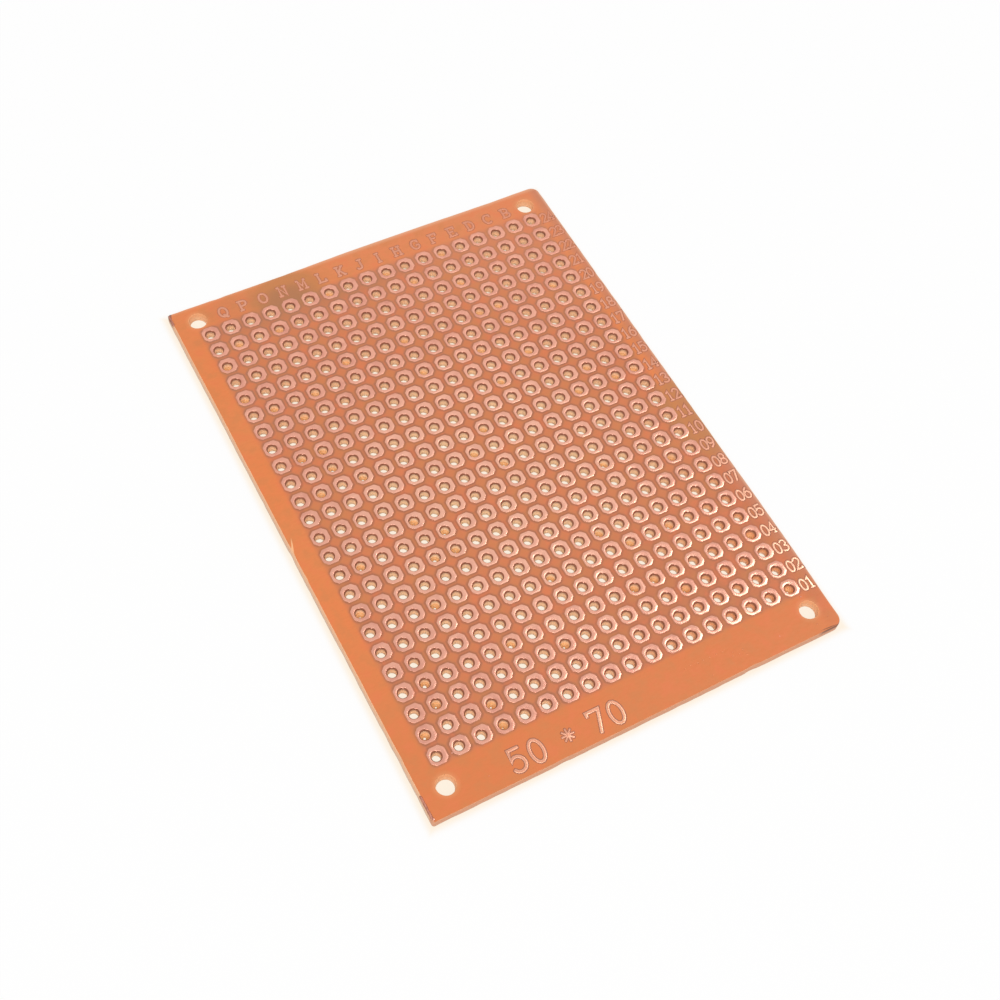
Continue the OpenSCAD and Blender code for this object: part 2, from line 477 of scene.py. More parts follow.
def copper_finish():
    """Bare foil: satin, rippled, each pad a little different, with a painted sheen over the middle of the
    board, crushed and dark inside the holes, the dark partly painted shade.
    """
    paints = bpy.context.scene.board_colours
    finish, x, y, z = new_finish("copper_foil")
    cell = finish.node("VectorMath", {0: finish.place, 1: (PITCH / MM, PITCH / MM, 10.0)},
                       operation="SNAP")
    each = finish.node("TexWhiteNoise", {"Vector": cell}, noise_dimensions="3D")
    brushed = finish.noise(2.0, 3.0, 0.6, (0.8, 5.0, 1.0))
    ripple = finish.noise(3.2, 3.0, 0.55)
    dull = finish.noise(0.7, 4.0, 0.6)
    sunk = z.rise(TOP / MM + 0.012, TOP / MM - 0.02)
    tone = finish.coats(
        paints.copper,
        (dull.rise(0.35, 0.75) * 0.7, paints.tarnish),
        (each * 0.3, paints.tarnish),
        # painted sheen: the pads lighter over the middle of the board
        (patch(x, y, (-1.0, -4.0), (24.0, 24.0)) * 0.25, (1.0, 0.80, 0.69)),
        # partly tarnish and crushing, partly painted shade inside the hole
        (sunk * 0.9, paints.bruise_and_shade))
    u, v = from_pad_centre(x, y)
    pressed = (u * u * 1.2 - v * v * 3.0) * (x - y).rise(18.0, 45.0)
    rough = dull * 0.12 + each * 0.05 + sunk * 0.2 + y.rise(-8.0, 30.0) * 0.2 + 0.19
    height = brushed * 0.12 + ripple * 0.75 + pressed
    return finish.surface(Base_Color=tone, Metallic=1.0 - sunk * 0.75, Roughness=rough,
                          relief=(height, 0.014 * MM, 0.8))


def lettering_finish(name, near, far):
    """Foil of the lettering: near is its colour at the lower rows, lighter there with painted sheen, and
    far its colour at the over-etched top.
    """
    finish, x, y, _ = new_finish(name)
    worn = finish.noise(1.1, 3.0, 0.6)
    fine = finish.noise(5.0, 3.0, 0.6)
    fade = (y - x * 0.45 + worn * 8.0).rise(-36.0, -8.0)
    # near is lighter with painted sheen at the lower rows
    tone = finish.coats(near, (fade, far),
                        ((x * 0.5 + y).rise(26.0, 42.0) * 0.75, (0.83, 0.54, 0.42)))
    return finish.surface(Base_Color=tone, Metallic=1.0 - fade * 0.55,
                          Roughness=worn * 0.15 + fade * 0.15 + 0.22,
                          relief=(fine, 0.012 * MM, 0.7))


def halo_finish():
    """Face of the sheet close to the lettering: painted shade round the strokes, darker towards the
    bottom.
    """
    finish, _, y, _ = new_finish("lettering_shade_halo")
    shade_mask = finish.noise(1.5, 3.0) * 0.3 + y.rise(30.0, -10.0) * 0.55
    tone = finish.blend(shade_mask, bpy.context.scene.board_colours.phenolic_shade, (0.60, 0.35, 0.26))
    return finish.surface(Base_Color=tone, Roughness=0.5)


def dark_foil_finish():
    """Foil crushed where the shear ran through it, its dark brown tone painted shade."""
    finish, *_ = new_finish("sheared_foil")
    crushed = finish.noise(2.5, 4.0, 0.65, (3.0, 1.0, 3.0))
    # painted shade: the slips' dark brown tone
    tone = finish.blend(crushed.rise(0.25, 0.6), (0.50, 0.31, 0.25), (0.76, 0.51, 0.43))
    return finish.surface(Base_Color=tone, Metallic=0.7, Roughness=0.45, relief=(crushed, 0.03 * MM, 0.8))


# ------------ mesh code

def add_object(name, data):
    made = bpy.data.objects.new(name, data)
    bpy.context.scene.collection.objects.link(made)
    return made


class Shell:
    """Collects rings and caps of closed surfaces, then makes one piece of them."""

    def __init__(self):
        self.points, self.faces, self.finishes, self.smooth = [], [], [], []

    def ring(self, points):
        start = len(self.points)
        self.points.extend(points)
        return list(range(start, len(self.points)))

    def face(self, corners, finish=0, smooth=False):
        self.faces.append(corners)
        self.finishes.append(finish)
        self.smooth.append(smooth)

    def loft(self, rings, finish=0, smooth=True, closed=True):
        """Joins each ring to the next. Counter-clockwise rings that go down face outwards."""
        for upper, lower in zip(rings, rings[1:]):
            count = len(upper)
            for i in range(count if closed else count - 1):
                j = (i + 1) % count
                self.face((upper[i], lower[i], lower[j], upper[j]), finish, smooth)

    def close_strip(self, rings, ends):
        """Closes the underside of a strip made of open rings and, if asked, its two ends."""
        self.loft([[ring[-1], ring[0]] for ring in rings], closed=False, smooth=False)
        if ends:
            self.face(rings[0])
            self.face(rings[-1][::-1])

    def sheet(self, outline, holes, up, finish):
        """Fills the flat face between an outline ring and the rings of its holes."""
        loops = [outline, *holes]
        order = [i for loop in loops for i in loop]
        edges, start = [], 0
        for loop in loops:
            edges += [(start + i, start + (i + 1) % len(loop)) for i in range(len(loop))]
            start += len(loop)
        flat = [Vector(self.points[i][:2]) / MM for i in order]
        loop_of = [number for number, loop in enumerate(loops) for _ in loop]
        _, _, triangles, origin, _, _ = delaunay_2d_cdt(flat, edges, [], 1, 1e-6)
        for triangle in triangles:
            corners = [origin[i][0] for i in triangle]
            turn = corners.index(min(corners))
            first, second, third = corners[turn:] + corners[:turn]
            inside_hole = loop_of[first] and loop_of[first] == loop_of[second] == loop_of[third]
            if inside_hole and second > third:
                continue
            corners = [order[i] for i in (first, second, third)]
            self.face(corners if up else corners[::-1], finish)

    def piece(self, name, finishes, slot):
        """Makes the object and lets it ride on the board. Its slot argument is not used."""
        mesh = bpy.data.meshes.new(name)
        mesh.from_pydata([tuple(p) for p in self.points], [], self.faces)
        for finish in finishes:
            mesh.materials.append(finish)
        mesh.polygons.foreach_set("material_index", self.finishes)
        mesh.polygons.foreach_set("use_smooth", self.smooth)
        mesh.update()
        made = add_object(name, mesh)
        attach(made, "root")
        return made


def hole_centre(row, column):
    """Where the punch struck: near its nominal place, a little off for each hole."""
    chance = random.Random(PUNCH_SEED + 1000 * row + column)
    nominal = pad_centre(row, column) + PUNCH_SHIFT
    return nominal + Vector((chance.gauss(0.0, 0.015), chance.gauss(0.0, 0.012))) * MM


def pad_centre(row, column):
    """Column 0 is column A, on the +X side."""
    return GRID + Vector(((COLUMNS - 1) / 2 - column, row - (ROWS - 1) / 2)) * PITCH


def clockwise(count):
    """Angles once round, the way that the ring of a hole goes."""
    return [-2 * math.pi * i / count for i in range(count)]


def circle(centre, radius, z, angles, shape=None):
    """A ring of points at some angles. shape(angle) may change the radius there."""
    points = []
    for angle in angles:
        r = radius + (shape(angle) if shape else 0.0)
        points.append((centre.x + r * math.cos(angle), centre.y + r * math.sin(angle), z))
    return points


def near_angle(angle, peak, width):
    """1 at the peak angle, fading to 0 a few widths away, round the circle."""
    off = (angle - peak + math.pi) % (2 * math.pi) - math.pi
    return math.exp(-(off / width) ** 2)


# ------------ laminate

def board_outline():
    """Points along the sheared outline, counter-clockwise, each with its outward direction."""
    sizes = bpy.context.scene.board_sizes
    low, high = BOARD_LOW, BOARD_HIGH
    worn, cut = sizes.worn_corner, sizes.cut_corner
    step = 0.32 * MM
    trail = []
    for x, y, side, start, radius, pieces in (
            (high.x, low.y, (1, -1), -90, worn, 10), (high.x, high.y, (1, 1), 0, worn, 10),
            (low.x, high.y, (-1, 1), 90, cut, 4), (low.x, low.y, (-1, -1), 180, cut, 4)):
        centre = Vector((x, y)) - Vector(side) * radius
        for i in range(pieces + 1):
            angle = math.radians(start + 90 * i / pieces)
            out = Vector((math.cos(angle), math.sin(angle)))
            trail.append((centre + out * radius, out))
    full = []
    for (a, out_a), (b, out_b) in zip(trail, trail[1:] + trail[:1]):
        pieces = max(1, round((b - a).length / step))
        full += [(a.lerp(b, i / pieces), out_a.lerp(out_b, i / pieces).normalized())
                 for i in range(pieces)]
    return full


def ease(value, low, high):
    """0 at low, 1 at high and smooth between them. low may be the larger one."""
    t = min(1.0, max(0.0, (value - low) / (high - low)))
    return t * t * (3 - 2 * t)


def off_square(place):
    """The shift inwards where the shear ran off square: half of the far edge, and a worn corner."""
    far = ease(place.x, 0.0, -12.0 * MM) * ease(place.y, BOARD_HIGH.y - 2.0 * MM, BOARD_HIGH.y)
    near = ease(place.y, -25.0 * MM, -33.0 * MM) * ease(place.x, BOARD_HIGH.x - 2.0 * MM, BOARD_HIGH.x)
    return Vector((near, far)) * bpy.context.scene.board_sizes.edge_skew


def sheared_ring(trail, z, inset, roughness):
    """The outline at one height, drawn in by its inset and by the wander of the shear: slow
    waves, small tears and a few deeper nicks. The side beside the last column leans more."""
    wander = bpy.context.scene.board_sizes.edge_wander
    points = []
    for place, out in trail:
        spot = Vector((place.x, place.y, z)) / MM
        slow = noise.noise(Vector((spot.x * 0.09, spot.y * 0.09, 3.0)))
        torn = noise.noise(Vector((spot.x * 0.9, spot.y * 0.9, spot.z * 1.5)))
        nick = max(0.0, noise.noise(Vector((spot.x * 0.35, spot.y * 0.35, 9.0))) - 0.35)
        share = 0.18 + 0.55 * slow + roughness * 0.35 * torn + 1.6 * nick
        lean = inset * (1.0 if out.x > -0.5 else 2.6)
        inner = place - out * (max(0.0, share) * wander + lean) - off_square(place)
        points.append((inner.x, inner.y, z))
    return points


def laminate_shell():
    """The punched sheet: its sheared edge, its holes, then the two faces between them."""
    shell, trail = Shell(), board_outline()
    # For each ring of the edge: its share of the height, its inset in millimetres, how torn it is.
    levels = [(1.0, 0.075, 0.5), (0.95, 0.03, 0.8), (0.72, 0.012, 1.0), (0.45, 0.0, 1.0),
              (0.2, 0.0, 1.0), (0.05, 0.01, 1.0), (0.0, 0.03, 1.0)]
    edge = [shell.ring(sheared_ring(trail, TOP * share, inset * MM, torn))
            for share, inset, torn in levels]
    shell.loft(edge, finish=EDGE)
    holes = []
    for row in range(ROWS):
        for column in range(COLUMNS):
            wall, last = lead_hole_rings(shell, row, column)
            shell.loft(wall, finish=WALL)
            shell.loft(wall[-1:] + last, finish=WALL if len(last) == 2 else SKIN)
            holes.append(wall + last)
    for centre in screw_centres():
        holes.append(screw_hole_rings(shell, centre))
        shell.loft(holes[-1], finish=BORE)
    shell.sheet(edge[0], [hole[0] for hole in holes], True, FACE)
    shell.sheet(edge[-1], [hole[-1] for hole in holes], False, BACK)
    return shell


def lead_hole_rings(shell, row, column):
    """Rings of one lead hole from the mouth under the pad down: its wall, then its ragged exit.
    The exit has two rings, or more where the punch left a skin of resin across it."""
    sizes, centre = bpy.context.scene.board_sizes, hole_centre(row, column)
    chance = random.Random(TEAR_SEED + 100 * row + column)
    ragged = [chance.uniform(-math.pi, math.pi) for _ in range(2)]
    flap = chance.uniform(0.1, 0.3) * MM if chance.random() < FLAPPED else 0.0
    flap_at = math.radians(chance.uniform(150, 300))

    def torn(angle):
        wave = 0.5 * math.sin(3 * angle + ragged[0]) + 0.5 * math.sin(5 * angle + ragged[1])
        return 0.018 * MM * wave - flap * near_angle(angle, flap_at, 0.8)

    neck = TOP - sizes.mouth_depth
    wall = [(LEAD_R + sizes.mouth_flare, TOP), (LEAD_R + sizes.lip, neck), (LEAD_R, neck),
            (LEAD_R, TOP * 0.3)]
    if chance.random() < SKINNED:
        tear = chance.uniform(0.06, 0.24) * MM
        last = [(LEAD_R * 0.8, TOP * 0.17), (tear, TOP * 0.13), (tear, TOP * 0.07),
                (LEAD_R * 0.85, TOP * 0.06), (LEAD_R + 0.05 * MM, 0.0, torn)]
    else:
        last = [(LEAD_R - 0.04 * MM, TOP * 0.1, torn), (LEAD_R, 0.0, torn)]
    angles = clockwise(LEAD_POINTS)
    return [[shell.ring(circle(centre, r, z, angles, *shape)) for r, z, *shape in stations]
            for stations in (wall, last)]


def screw_centres():
    centre = Vector(SCREWS["pos_m"][:2])
    reach = Vector((SCREWS["dims"]["spacing_x_mm"], SCREWS["dims"]["spacing_y_mm"])) * MM / 2
    return [centre + Vector((sx * reach.x, sy * reach.y)) for sx in (-1, 1) for sy in (-1, 1)]


def screw_hole_rings(shell, centre):
    """A mounting hole: a narrow crushed rim, a plain wall and a slightly broken exit."""
    stations = [(SCREW_R + 0.06 * MM, TOP), (SCREW_R, TOP - 0.1 * MM),
                (SCREW_R - 0.05 * MM, TOP * 0.6), (SCREW_R - 0.09 * MM, TOP * 0.1),
                (SCREW_R - 0.02 * MM, 0.0)]
    phase = 1000 * (50 * centre.x + 30 * centre.y)       # another one for each hole

    def uneven(angle):
        return 0.012 * MM * math.sin(3 * angle + phase)

    return [shell.ring(circle(centre, r, z, clockwise(SCREW_POINTS), uneven)) for r, z in stations]


# ------------ copper pads

def pad_outline():
    """Corner-rounded outline of a pad round its own centre, counter-clockwise."""
    x, y = PAD_SIZE.x / 2, PAD_SIZE.y / 2
    cut = bpy.context.scene.board_sizes.pad_corner_cut
    corners = [Vector(p) for p in ((x, cut - y), (x, y - cut), (x - cut, y), (cut - x, y),
                                   (-x, y - cut), (-x, cut - y), (cut - x, -y), (x - cut, -y))]
    softness = 0.07 * MM
    points = []
    for i, (corner, following) in enumerate(zip(corners, corners[1:] + corners[:1])):
        along = (following - corner).normalized()
        start, end = corner + along * softness, following - along * softness
        pieces = 4 if i % 2 == 0 else 3       # a straight side is longer than a cut corner
        points += [start.lerp(end, k / pieces) for k in range(pieces + 1)]
    return points


def add_pad(shell, outline, row, column):
    """One pad: etched rim, flat face, and the collar drawn down into its hole."""
    sizes = bpy.context.scene.board_sizes
    chance = random.Random(PAD_SEED + 1000 * row + column)
    centre, hole = pad_centre(row, column), hole_centre(row, column)
    mouth_r, lip_r, depth = LEAD_R + sizes.mouth_flare, LEAD_R + sizes.lip, sizes.mouth_depth
    shoulder = mouth_r + 0.02 * MM
    spur_at = math.radians(chance.gauss(57, 5))
    spur = max(0.0, chance.gauss(0.13, 0.035)) * MM
    dish = chance.uniform(0.35, 0.65) * FOIL
    brow = chance.uniform(0.4, 0.75) * FOIL
    etched = [1 - chance.uniform(0.0, 0.02) for _ in outline]
    tilt = Vector((chance.gauss(0, 0.004), chance.gauss(0, 0.004)))
    outline = [p * (0.5 * etched[i] + 0.5 * etched[i - 1]) * 0.978 for i, p in enumerate(outline)]
    rim = [centre + p for p in outline]
    angles = [math.atan2(p.y - hole.y, p.x - hole.x) for p in rim]

    def edge(grow, z):
        """The pad's outline at one height, let out by a distance."""
        return shell.ring([(*(centre + p * (1 + grow / PAD_SIZE.x * 2)), z) for p in outline])

    def between(share, drop):
        """A ring between the crater's shoulder and the pad's rim; share 1 is the rim."""
        points = []
        for p, angle in zip(rim, angles):
            inner = hole + Vector((math.cos(angle), math.sin(angle))) * shoulder
            spot = inner.lerp(p, share)
            points.append((*spot, FOIL_TOP - drop - abs((spot - centre).dot(tilt))))
        return shell.ring(points)

    def round_hole(radius, z, reach=0.0):
        """A ring round the hole. reach is the spur's share of its full length there."""
        return shell.ring(circle(hole, radius, z, angles, lambda angle: (
            -reach * spur * near_angle(angle, spur_at, 0.17))))

    # Down the pad's rim, in under the foil, down the collar, up inside it and out over the face.
    rings = [edge(0.0, FOIL_TOP - 0.85 * FOIL), edge(-0.004 * MM, TOP)]
    rings += [round_hole(*station) for station in (
        (mouth_r, TOP), (lip_r, TOP - depth), (LEAD_R + 0.012 * MM, TOP - depth, 0.3),
        (LEAD_R + 0.05 * MM, TOP - 0.65 * depth, 0.7), (LEAD_R + 0.11 * MM, TOP - 0.2 * depth, 1.0),
        (mouth_r - 0.018 * MM, TOP + 0.05 * FOIL, 1.0),
        (mouth_r - 0.008 * MM, FOIL_TOP - 0.25 * FOIL - dish, 1.0),
        (mouth_r, FOIL_TOP - 0.07 * FOIL - dish, 0.95))]
    rings += [between(share, drop) for share, drop in (
        (0.0, dish * 0.85), (0.18, dish * 0.4), (0.36, dish * 0.06), (0.56, brow * 0.08),
        (0.78, brow * 0.38))]
    rings += [edge(-0.04 * MM, FOIL_TOP - brow * 0.85), edge(-0.012 * MM, FOIL_TOP - brow)]
    shell.loft(rings + rings[:1])


def pad_row_shell(row):
    shell, outline = Shell(), pad_outline()
    for column in range(COLUMNS):
        add_pad(shell, outline, row, column)
    return shell


# ------------ foil lettering

def arc(x, y, rx, ry, start, end):
    """Points along part of an ellipse, in letter units: a letter is 6 wide and 9 high."""
    steps = max(3, round(abs(end - start) / 24))
    turns = [math.radians(start + (end - start) * i / steps) for i in range(steps + 1)]
    return [(x + rx * math.cos(t), y + ry * math.sin(t)) for t in turns]


def foot(x, y=0, reach=1.1):
    """A serif across the end of an upright."""
    return [(x - reach, y), (x + reach, y)]


def stem(x):
    """An upright with a serif at both ends."""
    return [[(x, 0), (x, 9)], foot(x), foot(x, 9)]


LETTERS = {
    "0": [arc(3, 4.5, 2.3, 4.5, 90, 450)],
    "1": [[(1.3, 7.4), (3, 9), (3, 0)], foot(3, 0, 1.6)],
    "2": [arc(3, 6.5, 2.3, 2.5, 165, -35) + [(0.7, 0), (5.4, 0), (5.4, 1.3)]],
    "3": [arc(2.8, 6.8, 2.1, 2.2, 150, -90), arc(2.8, 2.3, 2.5, 2.3, 90, -150)],
    "4": [[(4.1, 0), (4.1, 9), (0.4, 2.7), (5.7, 2.7)], foot(4.1)],
    "5": [[(5.1, 9), (1.4, 9), (1, 4.8)] + arc(2.8, 3, 2.5, 3, 125, -150)],
    "6": [arc(3, 2.8, 2.3, 2.8, 90, 450), arc(5, 2.8, 4.3, 6.2, 100, 180)],
    "7": [[(0.7, 7.5), (0.7, 9), (5.4, 9), (2.5, 0)]],
    "8": [arc(3, 6.8, 1.9, 2.2, -90, 270), arc(3, 2.3, 2.4, 2.3, 90, 450)],
    "9": [arc(3, 6.2, 2.3, 2.8, -90, 270), arc(1, 6.2, 4.3, 6.2, -80, 0)],
    "*": [[(3, 1.5), (3, 7.5)], [(0.4, 4.5), (5.6, 4.5)],
          [(1.1, 2.4), (4.9, 6.6)], [(1.1, 6.6), (4.9, 2.4)]],
    "B": [*stem(1.2), [(1.2, 9), (3.1, 9)] + arc(3.1, 6.8, 2, 2.2, 90, -90) + [(1.2, 4.6)],
          [(3.1, 4.6)] + arc(3.2, 2.3, 2.4, 2.3, 90, -90) + [(1.2, 0)]],
    "C": [arc(3.1, 4.5, 2.7, 4.5, 48, 312), [(5.2, 6.6), (5.2, 9)]],
    "D": [*stem(1.2), [(1.2, 9), (2.6, 9)] + arc(2.6, 4.5, 2.9, 4.5, 90, -90) + [(1.2, 0)]],
    "E": [*stem(1.2), [(1.2, 9), (5.2, 9), (5.2, 7)], [(1.2, 4.6), (4.1, 4.6)],
          [(1.2, 0), (5.4, 0), (5.4, 2)]],
    "F": [*stem(1.2), [(1.2, 9), (5.3, 9), (5.3, 7)], [(1.2, 4.6), (4.1, 4.6)]],
    "G": [arc(3.1, 4.5, 2.7, 4.5, 48, 330) + [(5.3, 3.9), (3.5, 3.9)], [(5.2, 6.8), (5.2, 9)]],
    "H": [*stem(1.1), *stem(4.9), [(1.1, 4.6), (4.9, 4.6)]],
    "I": [*stem(3)],
    "J": [[(4, 9), (4, 2.4)] + arc(2.2, 2.4, 1.8, 2.4, 0, -150), foot(4, 9, 1.4)],
    "K": [*stem(1.2), [(1.2, 3.3), (4.9, 9)], [(2.4, 5.1), (5, 0)], foot(4.8, 9, 0.8),
          foot(5, 0, 0.8)],
    "L": [*stem(1.2), [(1.2, 0), (5.3, 0), (5.3, 2.2)]],
    "M": [[(0.9, 0), (0.9, 9), (3, 3), (5.1, 9), (5.1, 0)], foot(0.9), foot(5.1),
          foot(0.6, 9, 0.6), foot(5.4, 9, 0.6)],
    "N": [[(1.1, 0), (1.1, 9), (4.9, 0), (4.9, 9)], foot(1.1), foot(4.9, 9), foot(0.8, 9, 0.6)],
    "O": [arc(3, 4.5, 2.6, 4.5, 90, 450)],
    "P": [*stem(1.2), [(1.2, 9), (3.2, 9)] + arc(3.2, 6.6, 2.1, 2.4, 90, -90) + [(1.2, 4.2)]],
    "Q": [arc(3, 4.5, 2.6, 4.5, 90, 450), [(2.6, 2), (3.6, 1.2), (4.4, -0.8), (5.3, -0.8)]],
}


def add_stroke(shell, line, width, height):
    """A raised strip of foil along a line: rounded rims and a middle in a finish of its own, painted a
    little duller.
    """
    closed = (line[0] - line[-1]).length < 1e-7
    line = line[:-1] if closed else line
    line = [p for i, p in enumerate(line) if not i or (p - line[i - 1]).length > 0.01 * MM]
    count, rise = len(line), height - TOP
    flat = 0.97 if rise < 0.01 * MM else 0.5      # how far out the flat middle goes, for halo or foil
    half = ((1.0, 0.0), (flat + (1 - flat) * 0.64, 0.6), (flat, 1.0))   # foot, shoulder and crest
    section = half + tuple((-across, up) for across, up in half[::-1])
    cap = width * 0.32
    rings = []

    def ring(point, side, swell, share):
        rings.append(shell.ring([(*(point - side * (width / 2 * across * swell)),
                                  TOP + rise * up * share) for across, up in section]))

    for i, point in enumerate(line):
        into = (point - line[i - 1]).normalized() if closed or i else None
        out = (line[(i + 1) % count] - point).normalized() if closed or i < count - 1 else None
        along = ((into or out) + (out or into)).normalized()
        side = Vector((-along.y, along.x))
        bend = max(0.55, along.dot(into or out))     # less than 1 where the line turns
        if not into:
            ring(point - along * cap, side, 0.6, 0.4)
        ring(point, side, 1 / bend, 1.0)
        if not out:
            ring(point + along * cap, side, 0.6, 0.4)
    if closed:
        rings.append(rings[0])
    for first, last, finish in ((0, 3, 0), (2, 4, 1), (3, 6, 0)):
        shell.loft([ring[first:last] for ring in rings], closed=False, finish=finish)
    shell.close_strip(rings, not closed)


def add_letter(shell, letter, centre, size, stroke, rise):
    """One letter or figure. Strokes differ by a hair in height, so that none share a face."""
    for index, line in enumerate(LETTERS[letter]):
        points = [centre + Vector(((x - 3) / 6 * size.x, (y - 4.5) / 9 * size.y)) for x, y in line]
        add_stroke(shell, points, stroke, TOP + rise - 0.0004 * MM * (1 + index))


def lettering():
    """Every letter and figure: its piece, the figure, its place, its size and its stroke. A letter
    stands over each inner column and a number beside each row."""
    sizes = bpy.context.scene.board_sizes
    small = Vector((1.12 * MM, sizes.letter_height))
    for column in range(1, COLUMNS - 1):
        above = pad_centre(ROWS - 1, column) + Vector((-0.02, 2.42)) * MM
        yield "column_letters", chr(ord("A") + column), above, small, 0.27 * MM
    small = Vector((0.9 * MM, sizes.letter_height))
    for row in range(ROWS):
        beside = pad_centre(row, 0) + Vector((2.05, -0.3)) * MM
        for place, figure in enumerate(f"{row + 1:02d}"):
            centre = beside + Vector(((place - 0.5) * 0.87, 0)) * MM
            yield "row_numbers", figure, centre, small, 0.25 * MM
    base = BOARD_LOW.y + 2.05 * MM
    for figure, x, share in (("5", -14.45, 1.0), ("0", -12.2, 1.0), ("*", -8.55, 0.86),
                             ("7", -5.1, 1.0), ("0", -2.85, 1.0)):
        centre = Vector((x * MM, base + (0.06 if share < 1 else 0.0) * MM))
        size = Vector((1.85 * MM, sizes.figure_height)) * share
        stroke = (0.36 if share == 1 else 0.2) * MM
        yield "margin_figures", figure, centre, size, stroke


# ------------ small foil remains

def add_fleck(shell, centre, across, along, turn, chance):
    """An irregular crumb of foil."""
    count = 9
    spots = []
    for i in range(count):
        angle = 2 * math.pi * i / count
        reach = chance.uniform(0.7, 1.0)
        spot = Vector((across / 2 * reach * math.cos(angle), along / 2 * reach * math.sin(angle)))
        spots.append(spot @ Matrix.Rotation(-turn, 2))
    top = shell.ring([(*(centre + s * 0.6), FOIL_TOP - 0.006 * MM) for s in spots])
    bottom = shell.ring([(*(centre + s), TOP) for s in spots])
    shell.loft([top, bottom])
    shell.face(top, smooth=True)
    shell.face(bottom[::-1])


def flecks_shell():
    """Crumbs of foil that the etching left in the margins, at places given one by one."""
    shell, chance = Shell(), random.Random(FLECK_SEED)
    for x, y, across, along in ((-19.97, -29.04, 0.2, 0.26), (22.28, -30.02, 0.34, 0.14),
                                (-17.8, -32.85, 0.12, 0.1), (22.0, -33.57, 0.12, 0.1),
                                (17.5, -32.95, 0.12, 0.14), (23.6, -33.3, 0.1, 0.1),
                                (-24.72, -34.32, 0.34, 0.42)):
        add_fleck(shell, Vector((x, y)) * MM, across * MM, along * MM, chance.uniform(0, 3), chance)
    return shell


def beads_shell():
    """A trail of tiny resin beads that curls across the lower margin."""
    shell, chance = Shell(), random.Random(BEAD_SEED)
    for x, y in ((6.2, -31.7), (7.0, -31.6), (7.8, -31.7), (8.5, -31.7), (9.3, -31.7),
                 (10.1, -31.7), (10.9, -31.8), (11.8, -32.3), (11.6, -32.7), (12.4, -32.8),
                 (13.0, -32.5), (13.1, -33.2), (8.5, -33.6)):
        size = chance.uniform(0.16, 0.24) * MM
        add_fleck(shell, Vector((x, y)) * MM, size, size * 0.8, chance.uniform(0, 3), chance)
    return shell


def add_slip(shell, low, high, chance):
    """One slip of foil along the edge from low to high, torn into an uneven taper."""
    width, count, rings = MARKS_HIGH.x - MARKS_LOW.x, 16, []
    for i in range(count + 1):
        t = i / count
        reach = width * min(1.0, 0.3 + 1.6 * math.sin(math.pi * (0.06 + 0.88 * t)) ** 0.6)
        reach *= chance.uniform(0.82, 1.0)
        x, y = MARKS_LOW.x + 0.12 * width, low + (high - low) * t
        rings.append(shell.ring([(x + reach * across, y, TOP + FOIL * up)
                                 for across, up in ((1, 0), (0.8, 0.9), (0.15, 0.8), (0, 0))]))
    shell.loft(rings, closed=False)
    shell.close_strip(rings, True)


def edge_slips_shell():
    """The two slips of foil that the shear left on the long edge."""
    shell, chance = Shell(), random.Random(SLIP_SEED)
    low, high = MARKS_LOW.y, MARKS_HIGH.y
    span = high - low
    add_slip(shell, low, low + 0.039 * span, chance)
    add_slip(shell, high - 0.023 * span, high, chance)
    return shell


# ------------ studio

WHITE = (1.0, 1.0, 1.0, 1.0)


def floor_finish():
    """Pale floor that shows plain white to the eye and keeps the board's soft shadow, with a warm painted
    glow of bounced light close round and under the board.
    """
    finish, x, y, z = new_finish("pale_floor")
    seen = finish.seen_plainly()
    beyond = (abs(x) - BOARD_HIGH.x / MM).at_least(abs(y) - BOARD_HIGH.y / MM)
    close = beyond.rise(1.3, 0.0)
    # painted light: a warm glow of light bounced from the board, close round it and under it
    bounce_glow = finish.blend(close * close * z.rise(-0.5, -0.1), WHITE[:3], (1.0, 0.95, 0.88))
    matt = finish.node("BsdfDiffuse", {"Color": (0.86, 0.85, 0.84, 1.0)})
    white = finish.node("BsdfPrincipled", {
        "Base Color": (0.0, 0.0, 0.0, 1.0), "Specular IOR Level": 0.0,
        "Emission Color": bounce_glow, "Emission Strength": 1.0})
    share = bpy.context.scene.studio_settings.floor_glow
    mixed = finish.node("MixShader", {0: seen * share, 1: matt, 2: white})
    return finish.ending(mixed)


def add_floor():
    mesh = bpy.data.meshes.new("floor")
    reach = 1.5
    corners = [(-reach, -reach), (reach, -reach), (reach, reach), (-reach, reach)]
    levels = CAD_LOW.z - 0.02 * MM, CAD_LOW.z - 1.0 * MM
    mesh.from_pydata([(x, y, z) for z in levels for x, y in corners], [],
                     [(0, 1, 2, 3), (7, 6, 5, 4)])
    mesh.materials.append(floor_finish())
    floor = add_object("floor", mesh)


def add_world():
    """Even light. What the eye, metal and glass see of it is plain white."""
    world = bpy.data.worlds.new("studio")
    bpy.context.scene.world = world
    finish = Finish(world)
    level = bpy.context.scene.studio_settings.world_level
    lit, plain = (finish.node("Background", {"Color": WHITE, "Strength": strength})
                  for strength in (level, 1.0))
    light = finish.node("MixShader", {0: finish.seen_plainly(), 1: lit, 2: plain})
    finish.ending(light, "World")


def add_softbox(name, direction, power, distance, size):
    """A round lamp that faces the middle of the board."""
    lamp = bpy.data.lights.new(name, "AREA")
    lamp.shape, lamp.size, lamp.energy = "DISK", size, power
    made = add_object(name, lamp)
    out = Vector(direction).normalized()
    made.location = Vector((0.0, 0.0, TOP)) + out * distance
    made.rotation_mode = "QUATERNION"
    made.rotation_quaternion = out.to_track_quat("Z", "Y")


